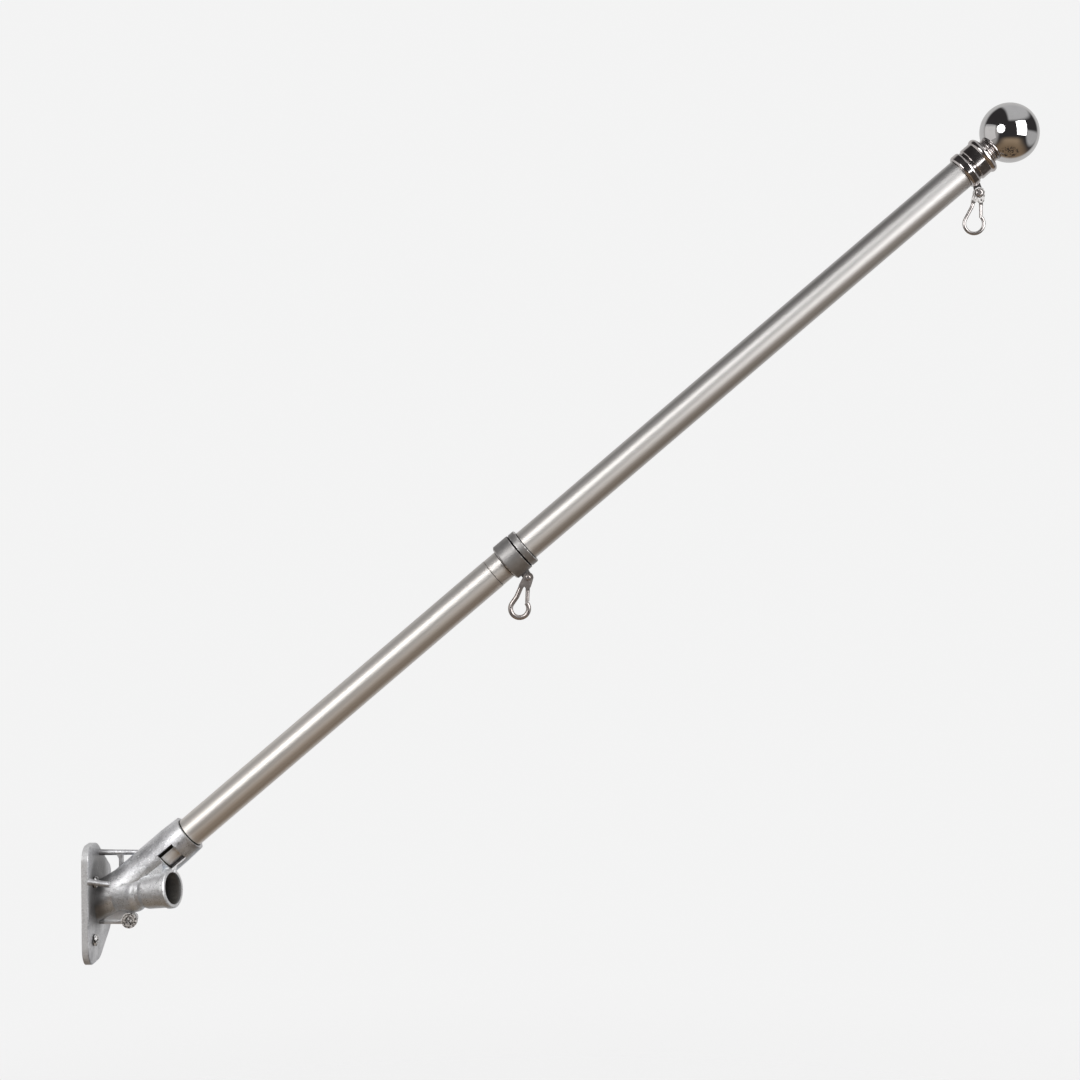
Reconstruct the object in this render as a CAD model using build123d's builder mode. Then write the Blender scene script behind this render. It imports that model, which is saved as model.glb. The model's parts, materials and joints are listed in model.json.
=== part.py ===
"""Wall-mounted flagpole set: two-socket cast bracket, two-section pole, swivel collar,
snap hooks and ball finial. Millimetres, +Z up. The origin is on the wall face of the
bracket plate, at the middle of its height; +X points away from the wall."""
from build123d import *
from math import cos, sin, tan, radians, sqrt, atan2, asin, degrees
import os

os.makedirs("parts", exist_ok=True)

# ---- driving dimensions -------------------------------------------------------------
pole_elevation = 40.5       # angle of the pole above the horizontal
socket_mouth_x = 78.6       # centre of the main socket's mouth
socket_mouth_z = 56.7

tube_diameter = 25.4
tube_wall = 1.2
socket_clearance = 0.5      # radial, pole in socket
socket_depth = 33.5
socket_mouth_radius = 15.7
socket_base_radius = 16.5
socket_body_length = 72.0
socket_lip_round = 0.8
window_start = 12.6         # below the mouth, along the pole
window_length = 14.8
window_upper_edge = -2.6    # outer upper edge, measured square to the pole on the near side
window_flare = 0.42         # the upper side leans inwards by this much per mm of depth
window_angle = 56.0         # lower edge, from the near side towards the underside

plate_half_width = 39.0
plate_top = 51.0            # highest point of the plate above the origin
plate_bottom = 45.8         # lowest point of the plate below the origin
plate_ridge_y = -8.0        # where the top starts to fall away to the far side
plate_keel_y = 2.0          # where the bottom starts to rise to the far side
plate_far_top = 23.0        # height of the far upper corner
plate_far_bottom = 26.5     # depth of the far lower corner
plate_keel_inset = 3.0      # near lower corner in from the near upper corner
plate_near_round = 12.0
plate_keel_round = 17.0
plate_top_round = 24.0
plate_belly_round = 20.0
plate_far_round = 10.0
plate_thickness = 5.6
plate_edge_round = 1.4

root_radius = 16.8          # root circle on the plate
root_height = 1.8
hub_radius = 14.3           # stub under the main socket, carries the second socket
hub_height = 8.5
hub_start_x = 12.0
hub_end_x = 44.2
hub_end_round = 7.0

neck_radius = 12.8          # bar that carries the hub on into the second socket
neck_start_x = 28.0
neck_end_x = 52.0
saddle_start_x = 32.0       # fill between the two sockets on the near side
saddle_end_x = 60.0

second_elevation = 9.0      # second socket axis above the horizontal
second_azimuth = 17.0       # second socket axis turned towards the near side
second_mouth_x = 69.0
second_mouth_y = -17.0
second_mouth_z = 15.0
second_outer_radius = 14.9
second_shoulder_radius = 14.3
second_back_radius = 9.0
second_lip_radius = 15.9
second_lip_length = 4.4
second_bore_radius = 12.9
second_bore_depth = 19.0
second_shoulder_depth = 20.5
second_back_depth = 29.0
web_thickness = 9.0

cleat_rod_radius = 2.2
cleat_rod_taper = 0.3       # root of the top rod fatter, tip thinner
cleat_top_height = 41.0
cleat_top_reach = 45.0
cleat_leg_x = 23.0
cleat_leg_width = 3.4
cleat_bar_height = -15.2
cleat_bar_reach = 28.0
cleat_fin_thickness = 2.4
horn_inset = 0.6            # outside of the horns in from the plate edge
horn_height = 23.6          # near side; the far horn sits lower on the narrower side
far_horn_height = 12.0
horn_reach = 16.3
horn_radius = 2.3
horn_flare = 1.1
horn_droop = 2.2

wall_screw_near_y = -19.5
wall_screw_upper_z = 20.4
wall_screw_lower_z = -26.2
wall_screw_far_y = 26.0
wall_screw_far_z = -2.0
wall_screw_head_radius = 4.7
wall_screw_head_height = 3.0
wall_screw_shank_radius = 2.3
wall_screw_clearance = 0.25
recess_width = 1.3
recess_reach = 2.6
recess_depth = 1.6

thumb_screw_x = 31.3
thumb_screw_z = -12.8
thumb_head_radius = 6.4
thumb_head_thickness = 5.0
thumb_shank_radius = 2.5
thumb_knurls = 24
thumb_boss_radius = 4.6
thumb_boss_width = 9.0
thumb_clearance = 0.08
thumb_head_gap = 0.3
thumb_tail = 3.0

lower_tube_end = 325.5      # distances along the pole from the socket mouth
ferrule_length = 11.9
ferrule_radius = 12.55
ferrule_seam = 0.4
collar_length = 15.7
collar_radius = 16.25
collar_chamfer = 1.2
collar_lip = 3.6
collar_gap = 0.3            # axial play either side of the collar's lip
collar_bore_clearance = 0.35
ring_gap = 0.8
ring_length = 6.1
ring_radius = 15.8
upper_reach = 500.6         # from the lower tube's end to the upper tube's end
upper_tube_end = lower_tube_end + upper_reach
spigot_clearance = 0.08     # radial, spigots in tubes and turning rings on spigots
spigot_below = 36.0
spigot_above = 34.0

finial_ring_gap = 0.3
finial_ring_length = 8.3
finial_ring_radius = 15.3
finial_ring_round = 2.2
finial_groove_length = 2.0
finial_groove_radius = 13.5
finial_drum_length = 9.0
finial_drum_radius = 14.55
finial_bead_length = 6.1
finial_bead_radius = 16.0
finial_neck_length = 4.2
finial_neck_radius = 10.4
finial_spigot_depth = 24.0
ball_radius = 24.4
ball_tenon_radius = 4.0
ball_tenon_length = 8.0

tab_thickness = 2.0
tab_side_gap = 0.25         # between a tab and each hook cheek
tab_end_gap = 0.5           # between a tab end and the floor of its slot
tab_root_depth = 2.2        # how far a tab is let into its ring

# lower hook, all points measured from its rivet: (out from the wall, downwards)
lower_rivet_station = lower_tube_end + 19.2
lower_rivet_drop = 20.9
lower_wire = 2.05
lower_loop_centre = (-7.0, 25.3)
lower_loop_radius = 7.35
lower_leg_start = (-4.3, 4.0)
lower_leg_bend = (-9.3, 15.7)
lower_gate_pin = (-0.3, 6.6)
lower_gate_end = (-0.8, 20.6)
lower_gate_radius = 1.7
lower_eye_radius = 4.2
lower_cheek = 1.3
lower_rivet_radius = 1.3
lower_rivet_head = 2.3
lower_tab_radius = 3.6
lower_tab_width = 8.0

# upper hook, same scheme
upper_rivet_station = upper_tube_end + 0.9
upper_rivet_drop = 21.3
upper_wire = 1.5
upper_loop_centre = (-4.0, 24.9)
upper_loop_radius = 7.95
upper_leg_start = (-3.9, 4.2)
upper_leg_bend = (-5.6, 11.0)
upper_gate_pin = (1.6, 5.9)
upper_gate_end = (1.7, 20.0)
upper_gate_radius = 1.5
upper_eye_radius = 4.7
upper_cheek = 1.2
upper_rivet_radius = 1.4
upper_rivet_head = 3.3
upper_tab_radius = 3.8
upper_tab_width = 6.4

gate_pin_radius = 0.75
gate_pin_clearance = 0.05
rivet_clearance = 0.08
rivet_head_gap = 0.12
gate_latch_gap = 0.3
latch_lap = 1.2

# ---- shared geometry ----------------------------------------------------------------
rise = radians(pole_elevation)
along = Vector(cos(rise), 0, sin(rise))
under = Vector(sin(rise), 0, -cos(rise))
mouth = Vector(socket_mouth_x, 0, socket_mouth_z)
tube_radius = tube_diameter / 2
tube_bore = tube_radius - tube_wall
spigot_radius = tube_bore - spigot_clearance


def station(distance):
    """Plane square to the pole; its x axis points to the pole's underside."""
    return Plane(origin=mouth + along * distance, x_dir=under, z_dir=along)


def pole_profile():
    """Plane holding the pole axis: x out from the axis (underside), y along the pole."""
    return Plane(origin=mouth, x_dir=under, z_dir=under.cross(along))


def pole_axis():
    return Axis(mouth, along)


# ---- bracket ------------------------------------------------------------------------
second_heading = radians(second_azimuth)
second_dir = Vector(
    cos(radians(second_elevation)) * cos(second_heading),
    -cos(radians(second_elevation)) * sin(second_heading),
    sin(radians(second_elevation)),
)
second_side = Vector(sin(second_heading), cos(second_heading), 0)
second_mouth = Vector(second_mouth_x, second_mouth_y, second_mouth_z)
second_axis = Axis(second_mouth, second_dir)


def second_plane(depth):
    """Plane square to the second socket, this far below its mouth."""
    return Plane(origin=second_mouth - second_dir * depth, x_dir=second_side, z_dir=second_dir)


# stub under the main socket, in line with the second socket
def hub_y(at_x):
    """Sideways place of the hub's axis, which lies under the second socket's axis."""
    return second_mouth_y + (second_mouth_x - at_x) * tan(second_heading)


hub_heading = Vector(cos(second_heading), -sin(second_heading), 0)
hub_length = (hub_end_x - hub_start_x) / cos(second_heading)
hub_end = Vector(hub_end_x, hub_y(hub_end_x), hub_height)
with BuildPart() as hub:
    with BuildSketch(Plane(origin=hub_end, x_dir=second_side, z_dir=hub_heading)):
        Circle(hub_radius)
    extrude(amount=-hub_length)
    fillet(hub.edges().filter_by(GeomType.CIRCLE).sort_by(Axis.X)[-1], hub_end_round)

# second socket barrel: bell back, straight wall, lip
with BuildPart() as barrel:
    with BuildSketch(Plane(origin=second_mouth, x_dir=second_side,
                           z_dir=second_side.cross(second_dir))):
        with BuildLine():
            Polyline((0, -second_back_depth), (second_back_radius, -second_back_depth))
            ThreePointArc(
                (second_back_radius, -second_back_depth),
                ((second_back_radius + second_shoulder_radius) / 2 + 1.2,
                 -(second_back_depth + second_shoulder_depth) / 2 - 1.0),
                (second_shoulder_radius, -second_shoulder_depth),
            )
            Polyline(
                (second_shoulder_radius, -second_shoulder_depth),
                (second_outer_radius, -second_lip_length - 0.9),
                (second_lip_radius, -second_lip_length),
                (second_lip_radius, -socket_lip_round),
                (second_lip_radius - socket_lip_round, 0),
                (0, 0), (0, -second_back_depth),
            )
        make_face()
    revolve(axis=second_axis)

# neck that carries the hub on into the second socket
neck_start = Vector(neck_start_x, hub_y(neck_start_x), hub_height)
neck_end = second_mouth - second_dir * ((second_mouth_x - neck_end_x) / second_dir.X)
neck_run = neck_end - neck_start
with BuildPart() as neck:
    with BuildSketch(Plane(origin=neck_start, z_dir=neck_run.normalized())):
        Circle(neck_radius)
    extrude(amount=neck_run.length)

# saddle that fills the valley between the two sockets, flush with their near sides
with BuildPart() as saddle:
    with BuildSketch(Plane.YZ.offset(saddle_start_x)):
        Polygon((0, 22), (-13.6, 17.5), (-17.6, 11.5), (-6, 4), align=None)
    with BuildSketch(Plane.YZ.offset(saddle_end_x)):
        Polygon((0, 47), (-12.8, 40.5), (-25.0, 21.0), (-14, 12), align=None)
    loft(ruled=True)

# web between the two sockets
web_near_y = -14.0
with BuildPart() as web:
    with BuildSketch(Plane.XZ.offset(-web_near_y)):
        with BuildLine():
            Polyline((30, 8), (66.5, 14), (68.2, 24), (70.0, 30.0), (71.5, 36.0), (44, 27),
                     close=True)
        make_face()
    extrude(amount=-web_thickness)
    chamfer(web.faces().sort_by(Axis.Y)[0].edges(), 2.5)

horn_y = plate_half_width - horn_inset - horn_radius - horn_flare
screw_places = (
    (wall_screw_near_y, wall_screw_upper_z),
    (wall_screw_near_y, wall_screw_lower_z),
    (wall_screw_far_y, wall_screw_far_z),
)

with BuildPart() as wall_bracket:
    # back plate
    with BuildSketch(Plane.YZ):
        with BuildLine():
            FilletPolyline(
                (-plate_half_width, plate_top), (plate_ridge_y, plate_top),
                (plate_half_width, plate_far_top), (plate_half_width, -plate_far_bottom),
                (plate_keel_y, -plate_bottom), (-plate_half_width + plate_keel_inset, -plate_bottom),
                radius=(plate_near_round, plate_top_round, plate_far_round, plate_far_round,
                        plate_belly_round, plate_keel_round),
                close=True,
            )
        make_face()
    extrude(amount=plate_thickness)
    fillet(wall_bracket.faces().sort_by(Axis.X)[-1].edges(), plate_edge_round)

    # root, from the plate into the main socket
    with BuildSketch(Plane.YZ.offset(plate_thickness - 0.6)):
        with Locations((0, root_height)):
            Circle(root_radius)
    with BuildSketch(station(-socket_body_length + 6)):
        Circle(socket_base_radius)
    loft()

    # main socket barrel
    with BuildSketch(pole_profile()):
        with BuildLine():
            Polyline(
                (0, -socket_body_length), (socket_base_radius, -socket_body_length),
                (socket_base_radius, -socket_depth / 2), (socket_mouth_radius, 0),
                (0, 0), close=True,
            )
        make_face()
    revolve(axis=pole_axis())

    # hub under the main socket, and the second socket
    add(hub.part)
    add(barrel.part)
    add(neck.part)
    add(saddle.part)
    add(web.part)

    # top cleat: rod from plate to socket, with a leg down to the socket
    with BuildSketch(Plane.YZ.offset(plate_thickness - 1.0)):
        with Locations((0, cleat_top_height)):
            Circle(cleat_rod_radius + cleat_rod_taper)
    with BuildSketch(Plane.YZ.offset(cleat_top_reach)):
        with Locations((0, cleat_top_height)):
            Circle(cleat_rod_radius - cleat_rod_taper)
    loft()
    with BuildSketch(Plane.XZ.offset(-cleat_leg_width / 2)):
        with BuildLine():
            Polyline(
                (cleat_leg_x - 4.5, cleat_top_height), (cleat_leg_x - 1.6, cleat_top_height - 5),
                (cleat_leg_x - 1.6, 20), (cleat_leg_x + 1.6, 20),
                (cleat_leg_x + 1.6, cleat_top_height), close=True,
            )
        make_face()
    extrude(amount=cleat_leg_width)

    # bottom cleat: bar, thin fin and boss for the clamp screw
    with BuildSketch(Plane.YZ.offset(plate_thickness - 1.0)):
        with Locations((0, cleat_bar_height)):
            Circle(cleat_rod_radius)
    extrude(amount=cleat_bar_reach - plate_thickness)
    with BuildSketch(Plane.XZ.offset(-cleat_leg_width / 2)):
        with BuildLine():
            Polyline(
                (cleat_leg_x - 1.6, cleat_bar_height), (cleat_leg_x - 1.6, 0),
                (thumb_screw_x + 3.0, 0), (thumb_screw_x + 3.0, thumb_screw_z), close=True,
            )
        make_face()
    extrude(amount=cleat_leg_width)
    with BuildSketch(Plane.XZ.offset(-cleat_fin_thickness / 2)):
        with Locations(((plate_thickness + cleat_leg_x) / 2, cleat_bar_height / 2)):
            Rectangle(cleat_leg_x - plate_thickness + 1.0, -cleat_bar_height)
    extrude(amount=cleat_fin_thickness)
    with BuildSketch(Plane.XZ.offset(-thumb_boss_width / 2)):
        with Locations((thumb_screw_x, thumb_screw_z)):
            Circle(thumb_boss_radius)
    extrude(amount=thumb_boss_width)

    # side horns
    for side, height in ((-1, horn_height), (1, far_horn_height)):
        waist = height - horn_droop * horn_flare * 3 / horn_reach
        with BuildSketch(Plane.YZ.offset(plate_thickness - 1.0)):
            with Locations((side * horn_y, height)):
                Circle(horn_radius + horn_flare)
        with BuildSketch(Plane.YZ.offset(plate_thickness + horn_flare * 3)):
            with Locations((side * horn_y, waist)):
                Circle(horn_radius)
        loft()
        with BuildSketch(Plane.YZ.offset(plate_thickness + horn_flare * 3)):
            with Locations((side * horn_y, waist)):
                Circle(horn_radius)
        with BuildSketch(Plane.YZ.offset(plate_thickness + horn_reach)):
            with Locations((side * horn_y, height - horn_droop)):
                Circle(horn_radius)
        loft()

    # bores
    with BuildSketch(station(-socket_depth)):
        Circle(tube_radius + socket_clearance)
    extrude(amount=socket_depth + 1, mode=Mode.SUBTRACT)
    with BuildSketch(second_plane(second_bore_depth)):
        Circle(second_bore_radius)
    extrude(amount=second_bore_depth + 1, mode=Mode.SUBTRACT)

    # window in the main socket
    with BuildSketch(station(-window_start - window_length)):
        with BuildLine():
            Polyline(
                (40 * sin(radians(window_angle)), -40 * cos(radians(window_angle))),
                (0, 0),
                (window_upper_edge + window_flare * (socket_mouth_radius - 9), -9),
                (window_upper_edge - window_flare * (40 - socket_mouth_radius), -40),
                close=True,
            )
        make_face()
    extrude(amount=window_length, mode=Mode.SUBTRACT)

    # wall screw holes, with room for the heads and the driver
    with BuildSketch(Plane.YZ):
        with Locations(*screw_places):
            Circle(wall_screw_shank_radius + wall_screw_clearance)
    extrude(amount=plate_thickness, mode=Mode.SUBTRACT)
    with BuildSketch(Plane.YZ.offset(plate_thickness)):
        with Locations(*screw_places):
            Circle(wall_screw_head_radius + 1.4)
    extrude(amount=9, mode=Mode.SUBTRACT)

    # clamp screw hole
    with BuildSketch(Plane.XZ.offset(-thumb_boss_width)):
        with Locations((thumb_screw_x, thumb_screw_z)):
            Circle(thumb_shank_radius + thumb_clearance)
    extrude(amount=2 * thumb_boss_width, mode=Mode.SUBTRACT)
wall_bracket.part.label = "wall_bracket"
export_step(wall_bracket.part, "parts/wall_bracket.step")

# ---- wall screws --------------------------------------------------------------------
for index, (screw_y, screw_z) in enumerate(screw_places, start=1):
    with BuildPart() as wall_screw:
        with BuildSketch(Plane.YZ):
            with Locations((screw_y, screw_z)):
                Circle(wall_screw_shank_radius)
        extrude(amount=plate_thickness)
        with BuildSketch(Plane.YZ.offset(plate_thickness)):
            with Locations((screw_y, screw_z)):
                Circle(wall_screw_head_radius)
        extrude(amount=wall_screw_head_height)
        fillet(wall_screw.edges().filter_by(GeomType.CIRCLE).sort_by(Axis.X)[-1], 1.5)
        with BuildSketch(Plane.YZ.offset(plate_thickness + wall_screw_head_height)):
            with Locations((screw_y, screw_z)):
                Rectangle(recess_width, 2 * recess_reach)
                Rectangle(2 * recess_reach, recess_width)
        extrude(amount=-recess_depth, mode=Mode.SUBTRACT)
    wall_screw.part.label = f"wall_screw_{index}"
    export_step(wall_screw.part, f"parts/wall_screw_{index}.step")

# ---- clamp screw --------------------------------------------------------------------
head_plane = Plane.XZ.offset(thumb_boss_width / 2 + thumb_head_gap)
with BuildPart() as thumb_screw:
    with BuildSketch(head_plane):
        with Locations((thumb_screw_x, thumb_screw_z)):
            Circle(thumb_head_radius)
    extrude(amount=thumb_head_thickness)
    fillet(thumb_screw.edges().filter_by(GeomType.CIRCLE), 0.6)
    with BuildSketch(head_plane):
        with Locations((thumb_screw_x, thumb_screw_z)):
            with PolarLocations(thumb_head_radius + 0.25, thumb_knurls):
                Circle(0.55)
    extrude(amount=thumb_head_thickness, mode=Mode.SUBTRACT)
    with BuildSketch(head_plane.offset(thumb_head_thickness)):
        with Locations((thumb_screw_x, thumb_screw_z)):
            Rectangle(recess_width + 0.4, 2 * recess_reach + 1.4, rotation=35)
            Rectangle(2 * recess_reach + 1.4, recess_width + 0.4, rotation=35)
    extrude(amount=-recess_depth - 0.4, mode=Mode.SUBTRACT)
    with BuildSketch(head_plane):
        with Locations((thumb_screw_x, thumb_screw_z)):
            Circle(thumb_shank_radius)
    extrude(amount=-(thumb_boss_width + thumb_head_gap + thumb_tail))
thumb_screw.part.label = "thumb_screw"
export_step(thumb_screw.part, "parts/thumb_screw.step")

# ---- pole ---------------------------------------------------------------------------
with BuildPart() as lower_tube:
    with BuildSketch(station(-socket_depth + 0.5)):
        Circle(tube_radius)
        Circle(tube_bore, mode=Mode.SUBTRACT)
    extrude(amount=lower_tube_end + socket_depth - 0.5)
lower_tube.part.label = "lower_tube"
export_step(lower_tube.part, "parts/lower_tube.step")

ferrule_start = lower_tube_end + ferrule_seam
ferrule_end = lower_tube_end + ferrule_length
with BuildPart() as tube_ferrule:
    with BuildSketch(station(ferrule_start)):
        Circle(ferrule_radius)
        Circle(tube_bore, mode=Mode.SUBTRACT)
    extrude(amount=ferrule_end - ferrule_start)
    outer_rims = tube_ferrule.edges().filter_by(GeomType.CIRCLE).filter_by(
        lambda edge: abs(edge.radius - ferrule_radius) < 0.01)
    chamfer(outer_rims, 0.35)
tube_ferrule.part.label = "tube_ferrule"
export_step(tube_ferrule.part, "parts/tube_ferrule.step")

collar_start = ferrule_end + collar_gap
collar_end = ferrule_end + collar_length
lip_end = collar_start + collar_lip
upper_tube_start = lip_end + collar_gap
with BuildPart() as joint_spigot:
    with BuildSketch(station(lower_tube_end - spigot_below)):
        Circle(spigot_radius)
        Circle(spigot_radius - 3, mode=Mode.SUBTRACT)
    extrude(amount=spigot_below + upper_tube_start - lower_tube_end + spigot_above)
joint_spigot.part.label = "joint_spigot"
export_step(joint_spigot.part, "parts/joint_spigot.step")


def ring_tab(rivet_station, rivet_drop, tab_radius, tab_width, ring_centre, ring_size,
             rivet_radius):
    """Flat tab let into a ring and rounded about its rivet hole."""
    tab_side = Plane(
        origin=mouth + Vector(0, tab_thickness / 2, 0), x_dir=under,
        z_dir=under.cross(along),
    )
    root = ring_size - tab_root_depth
    with BuildPart() as tab:
        with BuildSketch(tab_side):
            with BuildLine():
                Polyline(
                    (root, (ring_centre - tab_width / 2)),
                    (rivet_drop, (rivet_station - tab_radius)),
                    (rivet_drop, (rivet_station + tab_radius)),
                    (root, (ring_centre + tab_width / 2)),
                    close=True,
                )
            make_face()
            with Locations((rivet_drop, rivet_station)):
                Circle(tab_radius)
                Circle(rivet_radius + rivet_clearance / 2, mode=Mode.SUBTRACT)
        extrude(amount=tab_thickness)
    return tab.part


lower_tab = ring_tab(
    lower_rivet_station, lower_rivet_drop, lower_tab_radius, lower_tab_width,
    (collar_start + collar_end) / 2, collar_radius, lower_rivet_radius)
with BuildPart() as spin_collar:
    with BuildSketch(station(collar_start)):
        Circle(collar_radius)
    extrude(amount=collar_end - collar_start)
    rims = spin_collar.edges().filter_by(GeomType.CIRCLE).sort_by(pole_axis())
    chamfer(rims[0], collar_chamfer)
    chamfer(spin_collar.edges().filter_by(GeomType.CIRCLE).sort_by(pole_axis())[-1], 0.4)
    add(lower_tab)
    with BuildSketch(station(collar_start)):
        Circle(spigot_radius + spigot_clearance)
    extrude(amount=collar_lip, mode=Mode.SUBTRACT)
    with BuildSketch(station(lip_end)):
        Circle(tube_radius + collar_bore_clearance)
    extrude(amount=collar_end - lip_end, mode=Mode.SUBTRACT)
spin_collar.part.label = "spin_collar"
export_step(spin_collar.part, "parts/spin_collar.step")

ring_start = collar_end + ring_gap
with BuildPart() as stop_ring:
    with BuildSketch(station(ring_start)):
        Circle(ring_radius)
        Circle(tube_radius + 0.05, mode=Mode.SUBTRACT)
    extrude(amount=ring_length)
    ring_rims = stop_ring.edges().filter_by(GeomType.CIRCLE).filter_by(
        lambda edge: abs(edge.radius - ring_radius) < 0.01)
    chamfer(ring_rims, 0.5)
stop_ring.part.label = "stop_ring"
export_step(stop_ring.part, "parts/stop_ring.step")

with BuildPart() as upper_tube:
    with BuildSketch(station(upper_tube_start)):
        Circle(tube_radius)
        Circle(tube_bore, mode=Mode.SUBTRACT)
    extrude(amount=upper_tube_end - upper_tube_start)
upper_tube.part.label = "upper_tube"
export_step(upper_tube.part, "parts/upper_tube.step")

# ---- finial -------------------------------------------------------------------------
finial_ring_start = upper_tube_end + finial_ring_gap
finial_ring_end = finial_ring_start + finial_ring_length
upper_tab = ring_tab(
    upper_rivet_station, upper_rivet_drop, upper_tab_radius, upper_tab_width,
    (finial_ring_start + finial_ring_end) / 2, finial_ring_radius, upper_rivet_radius)
with BuildPart() as finial_ring:
    with BuildSketch(station(finial_ring_start)):
        Circle(finial_ring_radius)
    extrude(amount=finial_ring_length)
    fillet(finial_ring.edges().filter_by(GeomType.CIRCLE), finial_ring_round)
    add(upper_tab)
    with BuildSketch(station(finial_ring_start)):
        Circle(spigot_radius + spigot_clearance)
    extrude(amount=finial_ring_length, mode=Mode.SUBTRACT)
finial_ring.part.label = "finial_ring"
export_step(finial_ring.part, "parts/finial_ring.step")

groove_start = finial_ring_end + finial_ring_gap
drum_start = groove_start + finial_groove_length
bead_start = drum_start + finial_drum_length
neck_start = bead_start + finial_bead_length
ball_seat = neck_start + finial_neck_length
neck_half = finial_neck_length / 2
neck_root = finial_neck_radius - 0.9
with BuildPart() as finial_base:
    with BuildSketch(pole_profile()):
        with BuildLine():
            Polyline(
                (0, upper_tube_end - finial_spigot_depth),
                (spigot_radius, upper_tube_end - finial_spigot_depth),
                (spigot_radius, groove_start), (finial_groove_radius, groove_start),
                (finial_groove_radius, drum_start),
                (finial_drum_radius - 0.6, drum_start), (finial_drum_radius, drum_start + 0.6),
                (finial_drum_radius, bead_start),
            )
            ThreePointArc(
                (finial_drum_radius, bead_start),
                (finial_bead_radius, (bead_start + neck_start) / 2 - 0.4),
                (finial_bead_radius - 2.4, neck_start),
            )
            Line((finial_bead_radius - 2.4, neck_start), (neck_root, neck_start))
            ThreePointArc(
                (neck_root, neck_start), (finial_neck_radius, neck_start + neck_half / 2),
                (neck_root, neck_start + neck_half),
            )
            ThreePointArc(
                (neck_root, neck_start + neck_half),
                (finial_neck_radius, neck_start + neck_half * 1.5),
                (neck_root, ball_seat),
            )
            Polyline(
                (neck_root, ball_seat), (ball_tenon_radius, ball_seat),
                (ball_tenon_radius, ball_seat + ball_tenon_length),
                (0, ball_seat + ball_tenon_length),
                (0, upper_tube_end - finial_spigot_depth),
            )
        make_face()
    revolve(axis=pole_axis())
finial_base.part.label = "finial_base"
export_step(finial_base.part, "parts/finial_base.step")

seat_radius = finial_neck_radius + 0.9
ball_centre = ball_seat + sqrt(ball_radius ** 2 - seat_radius ** 2)
with BuildPart() as finial_ball:
    with BuildSketch(pole_profile()):
        with BuildLine():
            Line((0, ball_seat), (seat_radius, ball_seat))
            ThreePointArc(
                (seat_radius, ball_seat), (ball_radius, ball_centre),
                (0, ball_centre + ball_radius),
            )
            Line((0, ball_centre + ball_radius), (0, ball_seat))
        make_face()
    revolve(axis=pole_axis())
    with BuildSketch(station(ball_seat)):
        Circle(ball_tenon_radius + 0.1)
    extrude(amount=ball_tenon_length + 0.5, mode=Mode.SUBTRACT)
finial_ball.part.label = "finial_ball"
export_step(finial_ball.part, "parts/finial_ball.step")


# ---- snap hooks ---------------------------------------------------------------------
def hook_plane(rivet, offset=0.0):
    """Plane of a hanging hook: x out from the wall, y up, facing the near side."""
    return Plane(origin=rivet + Vector(0, -offset, 0), x_dir=(1, 0, 0), z_dir=(0, -1, 0))


def limb(first, last, first_radius, last_radius):
    """Two discs joined by their common outline, added to the current sketch."""
    run = Vector(last[0] - first[0], last[1] - first[1])
    lean = atan2(run.Y, run.X)
    tip = asin((first_radius - last_radius) / run.length)
    with Locations(first):
        Circle(first_radius)
    with Locations(last):
        Circle(last_radius)
    corners = []
    for centre, radius in ((first, first_radius), (last, last_radius)):
        pair = []
        for way in (1, -1):
            angle = lean + way * (radians(90) - tip)
            pair.append((centre[0] + radius * cos(angle), centre[1] + radius * sin(angle)))
        corners.append(pair)
    Polygon(corners[0][0], corners[1][0], corners[1][1], corners[0][1], align=None)


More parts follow.
